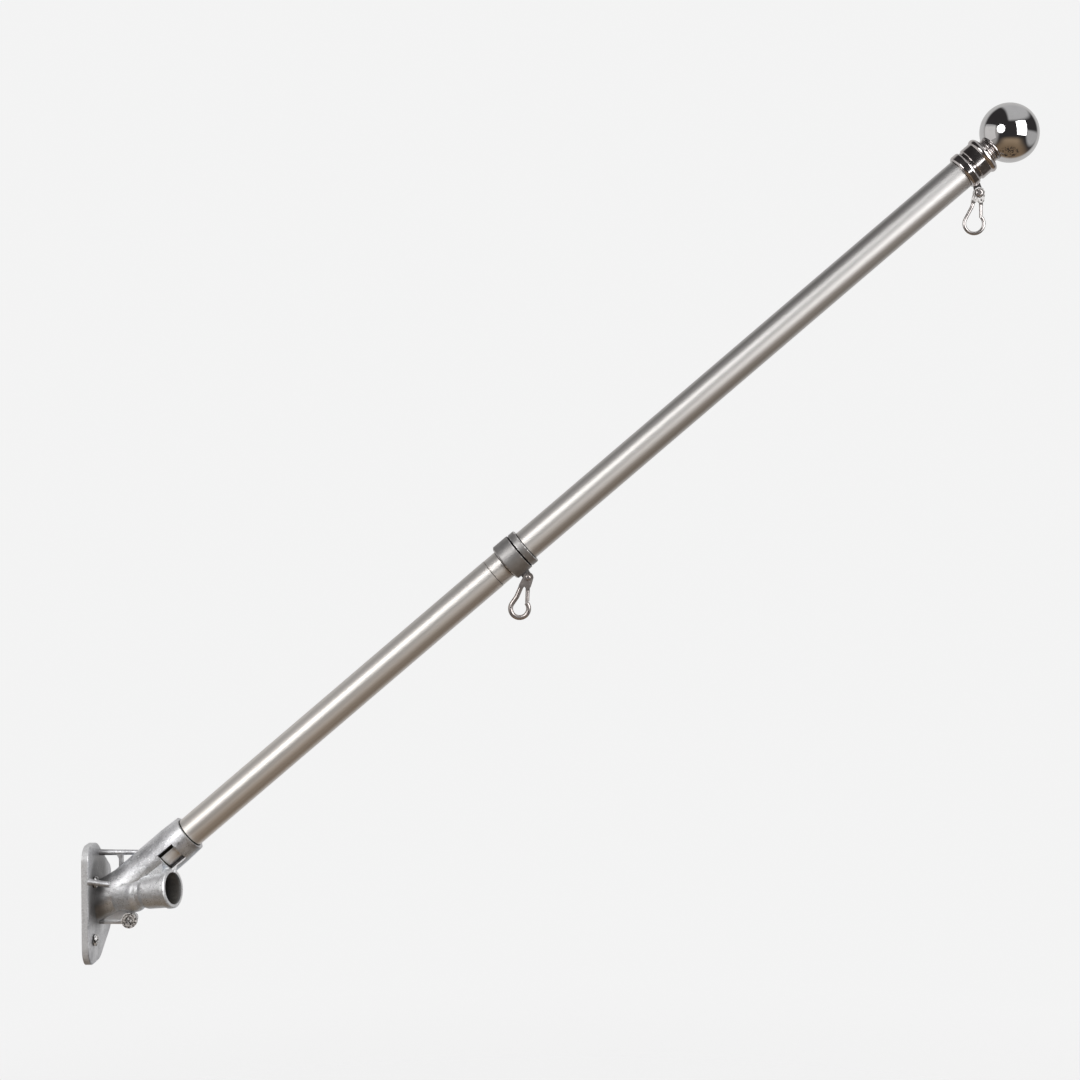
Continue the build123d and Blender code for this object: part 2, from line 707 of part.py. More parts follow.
def hook_body(rivet, wire, loop_centre, loop_radius, leg_start, leg_bend, gate_pin,
              gate_end, gate_radius, eye_radius, cheek, rivet_radius, slot_floor):
    half_slot = tab_thickness / 2 + tab_side_gap
    half_width = half_slot + cheek
    centre = Vector(loop_centre[0], -loop_centre[1])
    start = Vector(leg_start[0], -leg_start[1])
    bend = Vector(leg_bend[0], -leg_bend[1])
    span = centre - bend
    reach = sqrt(span.length ** 2 - loop_radius ** 2)
    heading = degrees(atan2(span.Y, span.X)) - degrees(asin(loop_radius / span.length))
    touch = bend + Vector(cos(radians(heading)), sin(radians(heading))) * reach
    touch_angle = degrees(atan2(touch.Y - centre.Y, touch.X - centre.X))
    nose_angle = 42
    sweep_angle = nose_angle - touch_angle
    while sweep_angle < 0:
        sweep_angle += 360
    with BuildPart() as body:
        with BuildLine(hook_plane(rivet)) as path:
            FilletPolyline(tuple(start), tuple(bend), tuple(touch), radius=8)
            CenterArc(tuple(centre), loop_radius, touch_angle, sweep_angle)
        with BuildSketch(Plane(origin=path.line @ 0, z_dir=path.line % 0)):
            Circle(wire)
        sweep(path=path.line)
        # nose cut level for the gate, with a lap on the outer side
        with BuildSketch(hook_plane(rivet, -2 * wire)):
            with Locations((gate_end[0] + gate_radius * 0.45, -gate_end[1] - gate_latch_gap)):
                Rectangle(3 * wire, 2 * wire, align=(Align.MAX, Align.MIN))
            with Locations((gate_end[0], -gate_end[1] + latch_lap)):
                Rectangle(3 * wire, 2 * wire, align=(Align.MIN, Align.MIN))
        extrude(amount=4 * wire, mode=Mode.SUBTRACT)
        # eye and cheeks
        with BuildSketch(hook_plane(rivet, -half_width)):
            limb((0, 0), (gate_pin[0], -gate_pin[1]), eye_radius, gate_radius + 0.9)
            leg = start + (bend - start).normalized() * 3.0
            limb((0, 0), (leg.X, leg.Y), eye_radius - 0.3, wire + 0.1)
            crotch = start + (bend - start).normalized() * 3.4
            Polygon((0, 0), (gate_pin[0], -gate_pin[1] - 0.6), (crotch.X, crotch.Y), align=None)
        extrude(amount=2 * half_width)
        # slot for the tab and the gate's tail
        with BuildSketch(hook_plane(rivet, -half_slot)):
            with Locations((0, -slot_floor)):
                Rectangle(5 * eye_radius, slot_floor + eye_radius + 1,
                          align=(Align.CENTER, Align.MIN))
            with Locations((gate_pin[0] + 2.1, -gate_pin[1] - 0.5)):
                Rectangle(2 * gate_radius + 6.4, 2 * gate_radius + 5.0)
        extrude(amount=2 * half_slot, mode=Mode.SUBTRACT)
        # rivet and gate pin holes
        with BuildSketch(hook_plane(rivet, -half_width)):
            Circle(rivet_radius + rivet_clearance)
            with Locations((gate_pin[0], -gate_pin[1])):
                Circle(gate_pin_radius + gate_pin_clearance)
        extrude(amount=2 * half_width, mode=Mode.SUBTRACT)
    return body.part


def hook_gate(rivet, gate_pin, gate_end, gate_radius):
    half_tail = tab_thickness / 2
    pin = Vector(gate_pin[0], -gate_pin[1])
    end = Vector(gate_end[0], -gate_end[1])
    run = (end - pin).normalized()
    neck = pin + run * (gate_radius + 2.2)
    plane = hook_plane(rivet)
    with BuildPart() as gate:
        with BuildSketch(Plane(origin=plane.from_local_coords(neck), z_dir=plane.x_dir * run.X
                               + plane.y_dir * run.Y)):
            Circle(gate_radius)
        extrude(amount=(end - neck).length)
        with BuildSketch(hook_plane(rivet, -half_tail)):
            with Locations((pin.X, pin.Y)):
                Circle(gate_radius)
            with BuildLine():
                Polyline(
                    (pin.X - gate_radius, pin.Y), (pin.X + gate_radius, pin.Y),
                    (neck.X + gate_radius, neck.Y - 1.5), (neck.X - gate_radius, neck.Y - 1.5),
                    close=True,
                )
            make_face()
        extrude(amount=2 * half_tail)
        with BuildSketch(hook_plane(rivet, -half_tail)):
            with Locations((pin.X, pin.Y)):
                Circle(gate_pin_radius + gate_pin_clearance)
        extrude(amount=2 * half_tail, mode=Mode.SUBTRACT)
        # lap against the nose
        with BuildSketch(hook_plane(rivet, -2 * gate_radius)):
            with Locations((end.X + gate_radius * 0.45 - gate_latch_gap + 2, end.Y)):
                Rectangle(4, 2 * (latch_lap + gate_latch_gap))
        extrude(amount=4 * gate_radius, mode=Mode.SUBTRACT)
    return gate.part


def hook_rivet(rivet, radius, head_radius, cheek):
    half_grip = tab_thickness / 2 + tab_side_gap + cheek + rivet_head_gap
    head_height = head_radius * 0.55
    with BuildPart() as pin:
        with BuildSketch(hook_plane(rivet, -half_grip)):
            Circle(radius)
        extrude(amount=2 * half_grip)
        for way in (-1, 1):
            with BuildSketch(hook_plane(rivet, way * half_grip)):
                Circle(head_radius)
            extrude(amount=way * head_height)
        rims = pin.edges().filter_by(GeomType.CIRCLE).sort_by(Axis.Y)
        fillet([rims[0], rims[-1]], head_height * 0.9)
    return pin.part


def gate_axle(rivet, gate_pin, cheek):
    half_width = tab_thickness / 2 + tab_side_gap + cheek
    with BuildPart() as axle:
        with BuildSketch(hook_plane(rivet, -half_width)):
            with Locations((gate_pin[0], -gate_pin[1])):
                Circle(gate_pin_radius)
        extrude(amount=2 * half_width)
    return axle.part


lower_rivet_point = mouth + along * lower_rivet_station + under * lower_rivet_drop
upper_rivet_point = mouth + along * upper_rivet_station + under * upper_rivet_drop

hook_pieces = {
    "lower_hook": hook_body(
        lower_rivet_point, lower_wire, lower_loop_centre, lower_loop_radius, lower_leg_start,
        lower_leg_bend, lower_gate_pin, lower_gate_end, lower_gate_radius, lower_eye_radius,
        lower_cheek, lower_rivet_radius, lower_tab_radius + tab_end_gap),
    "lower_gate": hook_gate(lower_rivet_point, lower_gate_pin, lower_gate_end,
                            lower_gate_radius),
    "lower_rivet": hook_rivet(lower_rivet_point, lower_rivet_radius, lower_rivet_head,
                              lower_cheek),
    "lower_gate_pin": gate_axle(lower_rivet_point, lower_gate_pin, lower_cheek),
    "upper_hook": hook_body(
        upper_rivet_point, upper_wire, upper_loop_centre, upper_loop_radius, upper_leg_start,
        upper_leg_bend, upper_gate_pin, upper_gate_end, upper_gate_radius, upper_eye_radius,
        upper_cheek, upper_rivet_radius, upper_tab_radius + tab_end_gap),
    "upper_gate": hook_gate(upper_rivet_point, upper_gate_pin, upper_gate_end,
                            upper_gate_radius),
    "upper_rivet": hook_rivet(upper_rivet_point, upper_rivet_radius, upper_rivet_head,
                              upper_cheek),
    "upper_gate_pin": gate_axle(upper_rivet_point, upper_gate_pin, upper_cheek),
}
for name, piece in hook_pieces.items():
    piece.label = name
    export_step(piece, f"parts/{name}.step")
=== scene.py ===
"""Looks of the wall-mounted flagpole: finishes, studio and camera.

Metres, in the CAD frame. Every visible shape is a CAD node; this script only dresses it.
"""
import json
import math

import bmesh
import bpy
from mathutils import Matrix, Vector

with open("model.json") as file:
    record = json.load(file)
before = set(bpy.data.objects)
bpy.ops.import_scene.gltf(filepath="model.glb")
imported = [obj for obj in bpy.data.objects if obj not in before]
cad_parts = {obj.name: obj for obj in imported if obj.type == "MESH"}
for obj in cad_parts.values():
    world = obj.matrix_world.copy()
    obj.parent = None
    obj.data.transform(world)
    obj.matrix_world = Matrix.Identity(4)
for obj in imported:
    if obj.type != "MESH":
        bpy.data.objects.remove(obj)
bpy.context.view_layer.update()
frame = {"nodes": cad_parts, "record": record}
nodes = frame["nodes"]

# ---- directions and places on the part -----------------------------------------------
ORIGIN = (0.0, 0.0, 0.0)
X_AXIS = (1.0, 0.0, 0.0)
Y_AXIS = (0.0, 1.0, 0.0)

RISE = math.radians(40.5)   # the pole above the horizontal
ALONG = Vector((math.cos(RISE), 0.0, math.sin(RISE)))
UNDER = Vector((math.sin(RISE), 0.0, -math.cos(RISE)))
MAIN_MOUTH = Vector((0.0786, 0.0, 0.0567))

SECOND_RISE = math.radians(9.0)
SECOND_TURN = math.radians(17.0)
SECOND_MOUTH = Vector((0.069, -0.017, 0.015))
SECOND_ALONG = Vector((
    math.cos(SECOND_RISE) * math.cos(SECOND_TURN),
    -math.cos(SECOND_RISE) * math.sin(SECOND_TURN),
    math.sin(SECOND_RISE),
))

ROOT_CENTRE = (0.0, -0.006, 0.014)      # centre of the painted shadow round the root, on the plate
STREAK_CENTRE = (0.0, -0.017, 0.026)    # centre of the painted shadow behind the near horn
HUB_END = (0.0332, 0.0, 0.0129)         # where the hub turns to the near side; centre of the painted shade over its highlight
THUMB_CENTRE = (0.0313, 0.0, -0.0128)
UPPER_RIVET = (0.721289, 0.0, 0.577597)

# ---- colours that several finishes share (linear) ------------------------------------
SHADOW = (0.030, 0.028, 0.027)          # painted shade for thin gaps between two pieces
WINDOW_SHADOW = (0.016, 0.015, 0.014)      # painted shadow inside the main socket's window
PALE_FLECK = (0.99, 0.99, 0.99)
WORN_CHROME = ((0.38, 0.355, 0.345), (0.54, 0.51, 0.50))


# ---- material helpers ----------------------------------------------------------------
def new_material(name):
    material = bpy.data.materials.new(name)
    material.use_nodes = True
    tree = material.node_tree
    shader = tree.nodes["Principled BSDF"]
    return material, tree, shader


def add(tree, kind, **values):
    node = tree.nodes.new(kind)
    for key, value in values.items():
        setattr(node, key, value)
    return node


def plain_coordinates(tree, stretch=(1.0, 1.0, 1.0)):
    """Object position, scaled."""
    place = add(tree, "ShaderNodeTexCoord")
    scale = add(tree, "ShaderNodeMapping", vector_type="POINT")
    scale.inputs["Scale"].default_value = stretch
    tree.links.new(place.outputs["Object"], scale.inputs["Vector"])
    return scale.outputs["Vector"]


def pole_coordinates(tree, stretch):
    """Object position turned so that x runs along the pole, then scaled."""
    place = add(tree, "ShaderNodeTexCoord")
    turn = add(tree, "ShaderNodeMapping", vector_type="POINT")
    turn.inputs["Rotation"].default_value = (0.0, RISE, 0.0)
    scale = add(tree, "ShaderNodeMapping", vector_type="POINT")
    scale.inputs["Scale"].default_value = stretch
    tree.links.new(place.outputs["Object"], turn.inputs["Vector"])
    tree.links.new(turn.outputs["Vector"], scale.inputs["Vector"])
    return scale.outputs["Vector"]


def position(tree):
    """Object position, split into x, y and z."""
    place = add(tree, "ShaderNodeTexCoord")
    split = add(tree, "ShaderNodeSeparateXYZ")
    tree.links.new(place.outputs["Object"], split.inputs["Vector"])
    return (split.outputs[axis] for axis in "XYZ")


def noise(tree, vector, scale, detail=3.0, roughness=0.55):
    node = add(tree, "ShaderNodeTexNoise")
    node.inputs["Scale"].default_value = scale
    node.inputs["Detail"].default_value = detail
    node.inputs["Roughness"].default_value = roughness
    tree.links.new(vector, node.inputs["Vector"])
    return node.outputs["Fac"]


def ramp(tree, value, stops):
    """stops are (position, colour) pairs; a colour is one grey value or three."""
    node = add(tree, "ShaderNodeValToRGB")
    elements = node.color_ramp.elements
    while len(elements) < len(stops):
        elements.new(0.5)
    for element, (place, colour) in zip(elements, stops):
        element.position = place
        rgb = (colour,) * 3 if isinstance(colour, (int, float)) else tuple(colour)
        element.color = (*rgb, 1.0)
    tree.links.new(value, node.inputs["Fac"])
    return node.outputs["Color"]


def bump(tree, height, strength, distance, onto=None):
    node = add(tree, "ShaderNodeBump")
    node.inputs["Strength"].default_value = strength
    node.inputs["Distance"].default_value = distance
    tree.links.new(height, node.inputs["Height"])
    if onto is not None:
        tree.links.new(onto, node.inputs["Normal"])
    return node.outputs["Normal"]


def away_from_line(tree, point, direction):
    """Distance of the surface point from a line, in metres."""
    place = add(tree, "ShaderNodeTexCoord")
    offset = add(tree, "ShaderNodeVectorMath", operation="SUBTRACT")
    offset.inputs[1].default_value = point
    across = add(tree, "ShaderNodeVectorMath", operation="CROSS_PRODUCT")
    across.inputs[1].default_value = direction
    length = add(tree, "ShaderNodeVectorMath", operation="LENGTH")
    tree.links.new(place.outputs["Object"], offset.inputs[0])
    tree.links.new(offset.outputs["Vector"], across.inputs[0])
    tree.links.new(across.outputs["Vector"], length.inputs[0])
    return length.outputs["Value"]


def beyond_plane(tree, point, direction):
    """Height of the surface point above a plane, in metres."""
    place = add(tree, "ShaderNodeTexCoord")
    offset = add(tree, "ShaderNodeVectorMath", operation="SUBTRACT")
    offset.inputs[1].default_value = point
    along = add(tree, "ShaderNodeVectorMath", operation="DOT_PRODUCT")
    along.inputs[1].default_value = direction
    tree.links.new(place.outputs["Object"], offset.inputs[0])
    tree.links.new(offset.outputs["Vector"], along.inputs[0])
    return along.outputs["Value"]


def reach_of(node):
    """First and last place of a node along the pole, in metres."""
    places = [ALONG.dot(vertex.co) for vertex in nodes[node].data.vertices]
    return min(places), max(places)


def rise_of(tree, value, none, full):
    """0 at none, 1 at full, smooth between; full may be the smaller of the two."""
    node = add(tree, "ShaderNodeMapRange", interpolation_type="SMOOTHSTEP")
    node.inputs["From Min"].default_value = none
    node.inputs["From Max"].default_value = full
    tree.links.new(value, node.inputs["Value"])
    return node.outputs["Result"]


def math_node(tree, operation, *values):
    node = add(tree, "ShaderNodeMath", operation=operation)
    for socket, value in zip(node.inputs, values):
        tree.links.new(value, socket)
    return node.outputs[0]


def product(tree, first, *others):
    """All of the factors at once."""
    for other in others:
        first = math_node(tree, "MULTIPLY", first, other)
    return first


def band(tree, value, low, high, soft):
    """1 between low and high, 0 outside, with soft edges."""
    return product(
        tree,
        rise_of(tree, value, low - soft, low),
        rise_of(tree, value, high + soft, high),
    )


def blend_colour(tree, factor, under, over):
    """Mix of two colours; each is a socket or an rgb triple."""
    node = add(tree, "ShaderNodeMix", data_type="RGBA")
    tree.links.new(factor, node.inputs[0])
    for socket, colour in ((node.inputs[6], under), (node.inputs[7], over)):
        if isinstance(colour, tuple):
            socket.default_value = (*colour, 1.0)
        else:
            tree.links.new(colour, socket)
    return node.outputs[2]


def toned(tree, factor, colour, tone):
    """A colour multiplied by a tone, by a factor."""
    node = add(tree, "ShaderNodeMix", data_type="RGBA", blend_type="MULTIPLY")
    tree.links.new(factor, node.inputs[0])
    tree.links.new(colour, node.inputs[6])
    node.inputs[7].default_value = (*tone, 1.0)
    return node.outputs[2]


def dress(name, material):
    mesh = nodes[name].data
    mesh.materials.clear()
    mesh.materials.append(material)


# ---- cast aluminium, blasted ---------------------------------------------------------
def cast_aluminium():
    """Blasted casting: speckle and a paler hub; painted shade in the bores, at the root, behind
    the near horn and over the hub's end; the web and the plate's edge painted paler as light.
    """
    material, tree, shader = new_material("cast_aluminium")
    at = plain_coordinates(tree)
    cloud = noise(tree, at, 55.0, 4.0, 0.62)
    speckle = noise(tree, at, 900.0, 3.0, 0.7)
    skin = noise(tree, at, 330.0, 4.0, 0.6)
    tint = ramp(tree, cloud, [
        (0.32, (0.45, 0.45, 0.465)),
        (0.52, (0.69, 0.69, 0.705)),
        (0.70, (0.86, 0.86, 0.875)),
    ])
    # the hub and the second socket are paler than the main socket
    hub = rise_of(tree, away_from_line(tree, SECOND_MOUTH, SECOND_ALONG), 0.0215, 0.0165)
    hub_tint = blend_colour(tree, skin, (0.66, 0.66, 0.67), PALE_FLECK)
    tint = blend_colour(tree, hub, tint, hub_tint)
    tint = blend_colour(tree, rise_of(tree, speckle, 0.58, 0.68), tint, PALE_FLECK)
    tint = blend_colour(tree, rise_of(tree, speckle, 0.43, 0.33), tint, (0.34, 0.34, 0.35))
    # painted reflection: faces that look down are tinted cooler, to cancel the warm floor's
    # reflection
    facing = add(tree, "ShaderNodeSeparateXYZ")
    normal = add(tree, "ShaderNodeTexCoord").outputs["Normal"]
    tree.links.new(normal, facing.inputs["Vector"])
    downward = rise_of(tree, facing.outputs["Z"], 0.10, -0.60)
    tint = toned(tree, downward, tint, (0.87, 0.93, 0.99))
    # painted shade: the hub's end is darkened where it turns to the near side, dimming its
    # highlight
    hub_end_shade = rise_of(tree, away_from_line(tree, HUB_END, Y_AXIS), 0.0075, 0.0010)
    tint = toned(tree, hub_end_shade, tint, (0.55, 0.55, 0.555))

    # painted shade: darker metal in the bores and on the cut edges of the window
    main_bore_shade = product(
        tree,
        rise_of(tree, away_from_line(tree, MAIN_MOUTH, ALONG), 0.0153, 0.0150),
        rise_of(tree, beyond_plane(tree, MAIN_MOUTH, ALONG), -0.0350, -0.0330),
        rise_of(tree, beyond_plane(tree, MAIN_MOUTH, ALONG), -0.0003, -0.0010),
    )
    second_bore_shade = product(
        tree,
        rise_of(tree, away_from_line(tree, SECOND_MOUTH, SECOND_ALONG), 0.0133, 0.0130),
        rise_of(tree, beyond_plane(tree, SECOND_MOUTH, SECOND_ALONG), -0.0200, -0.0188),
        rise_of(tree, beyond_plane(tree, SECOND_MOUTH, SECOND_ALONG), -0.0002, -0.0030),
    )

    # painted shadow where the root meets the plate, and a second painted shadow above it,
    # behind the near horn
    x, y, z = position(tree)
    near_root = rise_of(tree, away_from_line(tree, ROOT_CENTRE, X_AXIS), 0.042, 0.018)
    low_down = rise_of(tree, x, 0.020, 0.0075)
    front = rise_of(tree, x, 0.0048, 0.0056)
    root_shadow = product(tree, near_root, low_down, front)
    shadow_and_grime = blend_colour(tree, cloud, (0.09, 0.088, 0.09), (0.34, 0.335, 0.335))
    tint = blend_colour(tree, root_shadow, tint, shadow_and_grime)
    near_streak = rise_of(tree, away_from_line(tree, STREAK_CENTRE, X_AXIS), 0.014, 0.006)
    streak_shadow = product(tree, near_streak, front, rise_of(tree, x, 0.0075, 0.0062))
    shadow_and_grime = blend_colour(tree, cloud, (0.10, 0.098, 0.10), (0.30, 0.295, 0.30))
    tint = blend_colour(tree, streak_shadow, tint, shadow_and_grime)

    tint = blend_colour(tree, main_bore_shade, tint, (0.055, 0.052, 0.050))
    # painted shade in the second bore: dark deep inside, lighter towards the mouth
    towards_mouth = rise_of(
        tree, beyond_plane(tree, SECOND_MOUTH, SECOND_ALONG), -0.0170, -0.0010)
    rim = blend_colour(tree, cloud, (0.42, 0.40, 0.375), (0.74, 0.71, 0.68))
    bore_shade = blend_colour(tree, towards_mouth, (0.035, 0.032, 0.030), rim)
    tint = blend_colour(tree, second_bore_shade, tint, bore_shade)

    # painted light: the flat web below the hub and the plate's edge are painted paler and less
    # mirror-like, standing in for light they catch
    sideways = math_node(tree, "ABSOLUTE", y)
    web = product(
        tree,
        rise_of(tree, sideways, 0.0026, 0.0016),
        rise_of(tree, z, -0.0055, -0.0070),
        rise_of(tree, x, 0.0085, 0.0105),
    )
    edge = rise_of(tree, x, 0.0050, 0.0042)
    pale = math_node(tree, "MAXIMUM", web, edge)
    web_painted_light = blend_colour(tree, speckle, (0.80, 0.80, 0.81), (0.98, 0.98, 0.98))
    tint = blend_colour(tree, web, tint, web_painted_light)
    edge_painted_light = blend_colour(tree, speckle, (0.30, 0.30, 0.305), (0.86, 0.86, 0.865))
    tint = blend_colour(tree, edge, tint, edge_painted_light)

    tree.links.new(tint, shader.inputs["Base Color"])
    tree.links.new(ramp(tree, skin, [(0.25, 0.39), (0.75, 0.50)]), shader.inputs["Roughness"])
    tree.links.new(ramp(tree, pale, [(0.0, 0.90), (1.0, 0.15)]), shader.inputs["Metallic"])
    coarse = bump(tree, skin, 0.65, 0.00050)
    tree.links.new(bump(tree, speckle, 0.50, 0.00018, coarse), shader.inputs["Normal"])
    return material


# ---- anodised tube -------------------------------------------------------------------
def anodised_tube():
    """Satin tube with fine lines along it and a stretched highlight."""
    material, tree, shader = new_material("anodised_tube")
    streaks = noise(tree, pole_coordinates(tree, (3.0, 900.0, 900.0)), 1.0, 3.0, 0.6)
    patches = noise(tree, pole_coordinates(tree, (6.0, 40.0, 40.0)), 1.0, 2.0, 0.5)
    tint = ramp(tree, patches, [
        (0.3, (0.625, 0.615, 0.605)),
        (0.7, (0.680, 0.670, 0.662)),
    ])
    # warmer low on the pole, and painted brighter there to stand in for stronger light
    along = beyond_plane(tree, ORIGIN, ALONG)
    mouth = ALONG.dot(MAIN_MOUTH)
    tint = toned(tree, rise_of(tree, along, mouth + 0.90, mouth), tint, (1.0, 0.970, 0.930))
    tint = toned(tree, rise_of(tree, along, mouth + 0.60, mouth), tint, (1.22, 1.22, 1.22))
    # painted shade: dark bands where the tube goes into the casting and the rings
    collar, ring = reach_of("spin_collar"), reach_of("stop_ring")
    for low, high in (
        (mouth - 0.0010, mouth + 0.0007),
        (collar[0] - 0.0006, collar[0] + 0.0010),
        (collar[1] - 0.0010, ring[0] + 0.0010),
        (ring[1] - 0.0010, ring[1] + 0.0005),
    ):
        tint = blend_colour(tree, band(tree, along, low, high, 0.0003), tint, SHADOW)
    # painted light on the tube in the socket's window, with painted shadow in the gap above it
    # and at the window's lower end
    inside = rise_of(tree, along, mouth - 0.0020, mouth - 0.0035)
    tint = blend_colour(tree, inside, tint, (0.92, 0.91, 0.90))
    above = rise_of(tree, beyond_plane(tree, MAIN_MOUTH, UNDER), 0.0005, 0.0001)
    tint = blend_colour(tree, product(tree, inside, above), tint, WINDOW_SHADOW)
    window_end = rise_of(tree, along, mouth - 0.0268, mouth - 0.0272)
    tint = blend_colour(tree, window_end, tint, WINDOW_SHADOW)

    tree.links.new(tint, shader.inputs["Base Color"])
    dull = ramp(tree, streaks, [(0.25, 0.45), (0.75, 0.53)])
    tree.links.new(dull, shader.inputs["Roughness"])
    shader.inputs["Metallic"].default_value = 1.0
    tree.links.new(bump(tree, streaks, 0.12, 0.00003), shader.inputs["Normal"])
    shader.inputs["Anisotropic"].default_value = 0.55
    axis = add(tree, "ShaderNodeCombineXYZ")
    axis.inputs["X"].default_value = ALONG.x
    axis.inputs["Z"].default_value = ALONG.z
    tree.links.new(axis.outputs["Vector"], shader.inputs["Tangent"])
    return material


# ---- turned and polished metals ------------------------------------------------------
def turned_grey(node):
    """Satin grey ring: fine turning lines round it, worn edges at its ends painted brighter as
    highlights.
    """
    material, tree, shader = new_material("grey_" + node)
    first, last = reach_of(node)
    along = beyond_plane(tree, ORIGIN, ALONG)
    rings = noise(tree, pole_coordinates(tree, (5200.0, 30.0, 30.0)), 1.0, 2.0, 0.7)
    patches = noise(tree, plain_coordinates(tree), 160.0, 3.0, 0.6)
    scuffs = noise(tree, plain_coordinates(tree), 420.0, 4.0, 0.7)
    tint = ramp(tree, patches, [(0.3, (0.31, 0.30, 0.295)), (0.7, (0.39, 0.38, 0.372))])
    # worn edges at both ends, also painted brighter as edge highlights
    lower_edge = rise_of(tree, along, first + 0.0013, first + 0.0006)
    upper_edge = rise_of(tree, along, last - 0.0010, last - 0.0004)
    edges = math_node(tree, "MAXIMUM", lower_edge, upper_edge)
    wear_and_highlight = product(tree, edges, rise_of(tree, scuffs, 0.46, 0.58))
    tint = blend_colour(tree, wear_and_highlight, tint, (0.80, 0.79, 0.78))
    # painted shade on the two faces that meet at the gap between the collar and the stop ring
    if node == "spin_collar":
        shaded = rise_of(tree, along, last - 0.00035, last - 0.00015)
    else:
        shaded = rise_of(tree, along, first + 0.00035, first + 0.00015)
    tint = blend_colour(tree, shaded, tint, SHADOW)
    tint = blend_colour(tree, rise_of(tree, scuffs, 0.74, 0.80), tint, (0.66, 0.65, 0.64))

    tree.links.new(tint, shader.inputs["Base Color"])
    tree.links.new(ramp(tree, rings, [(0.25, 0.44), (0.75, 0.56)]), shader.inputs["Roughness"])
    shader.inputs["Metallic"].default_value = 1.0
    tree.links.new(bump(tree, rings, 0.25, 0.00003), shader.inputs["Normal"])
    return material


def polished(name, tints, roughness, metal=1.0, ripple=0.02):
    """Even metal; tints and roughness are the two ends between which it clouds."""
    material, tree, shader = new_material(name)
    patches = noise(tree, plain_coordinates(tree), 120.0, 3.0, 0.6)
    tint = ramp(tree, patches, list(zip((0.3, 0.7), tints)))
    tree.links.new(tint, shader.inputs["Base Color"])
    dull = ramp(tree, patches, list(zip((0.3, 0.7), roughness)))
    tree.links.new(dull, shader.inputs["Roughness"])
    shader.inputs["Metallic"].default_value = metal
    wave = noise(tree, plain_coordinates(tree), 300.0, 1.0, 0.5)
    tree.links.new(bump(tree, wave, ripple, 0.0001), shader.inputs["Normal"])
    return material


def upper_hook_chrome():
    """Worn chrome wire with an eye painted paler and flecked as painted light, and a dark ring
    round the rivet.
    """
    material, tree, shader = new_material("finial_chrome_eye")
    patches = noise(tree, plain_coordinates(tree), 120.0, 3.0, 0.6)
    flecks = noise(tree, plain_coordinates(tree), 560.0, 3.0, 0.7)
    tint = ramp(tree, patches, list(zip((0.3, 0.7), WORN_CHROME)))
    # painted light: the eye is paler, less metallic and flecked, standing in for light it
    # catches
    out = away_from_line(tree, UPPER_RIVET, Y_AXIS)
    eye = rise_of(tree, out, 0.0090, 0.0074)
    fleck = rise_of(tree, flecks, 0.42, 0.56)
    eye_painted_light = blend_colour(tree, fleck, (0.40, 0.385, 0.375), (0.97, 0.96, 0.95))
    tint = blend_colour(tree, eye, tint, eye_painted_light)
    rivet_ring = band(tree, out, 0.0034, 0.0037, 0.0002)
    tint = blend_colour(tree, rivet_ring, tint, (0.05, 0.047, 0.045))

    tree.links.new(tint, shader.inputs["Base Color"])
    tree.links.new(ramp(tree, patches, [(0.3, 0.16), (0.7, 0.26)]), shader.inputs["Roughness"])
    tree.links.new(ramp(tree, eye, [(0.0, 0.85), (1.0, 0.25)]), shader.inputs["Metallic"])
    wave = noise(tree, plain_coordinates(tree), 300.0, 1.0, 0.5)
    tree.links.new(bump(tree, wave, 0.04, 0.0001), shader.inputs["Normal"])
    return material


def thumb_zinc():
    """Zinc thumb screw: painted rings on the face, painted highlights at the centre and on the
    knurled rim, and painted shade in a dark ring mid-face and another just inside the rim.
    """
    material, tree, shader = new_material("zinc_thumb")
    out = away_from_line(tree, THUMB_CENTRE, Y_AXIS)
    # painted highlight and painted shade, as rings round the screw's centre
    spread = add(tree, "ShaderNodeMapRange")
    spread.inputs["From Max"].default_value = 0.0066
    tree.links.new(out, spread.inputs["Value"])
    rings = ramp(tree, spread.outputs["Result"], [
        (0.00, (0.95, 0.94, 0.93)),
        (0.34, (0.86, 0.84, 0.82)),
        (0.42, (0.10, 0.090, 0.085)),
        (0.50, (0.62, 0.59, 0.56)),
        (0.68, (0.74, 0.71, 0.68)),
        (0.74, (0.07, 0.065, 0.06)),
        (0.80, (0.78, 0.75, 0.72)),
        (1.00, (0.92, 0.90, 0.88)),
    ])
    shadow_and_grime = noise(tree, plain_coordinates(tree), 520.0, 3.0, 0.7)
    pits = rise_of(tree, shadow_and_grime, 0.49, 0.44)
    tint = blend_colour(tree, pits, rings, (0.045, 0.040, 0.037))

    tree.links.new(tint, shader.inputs["Base Color"])
    tree.links.new(ramp(tree, shadow_and_grime, [(0.3, 0.30), (0.7, 0.16)]), shader.inputs["Roughness"])
    shader.inputs["Metallic"].default_value = 0.45
    tree.links.new(bump(tree, shadow_and_grime, 0.9, 0.0009), shader.inputs["Normal"])
    return material


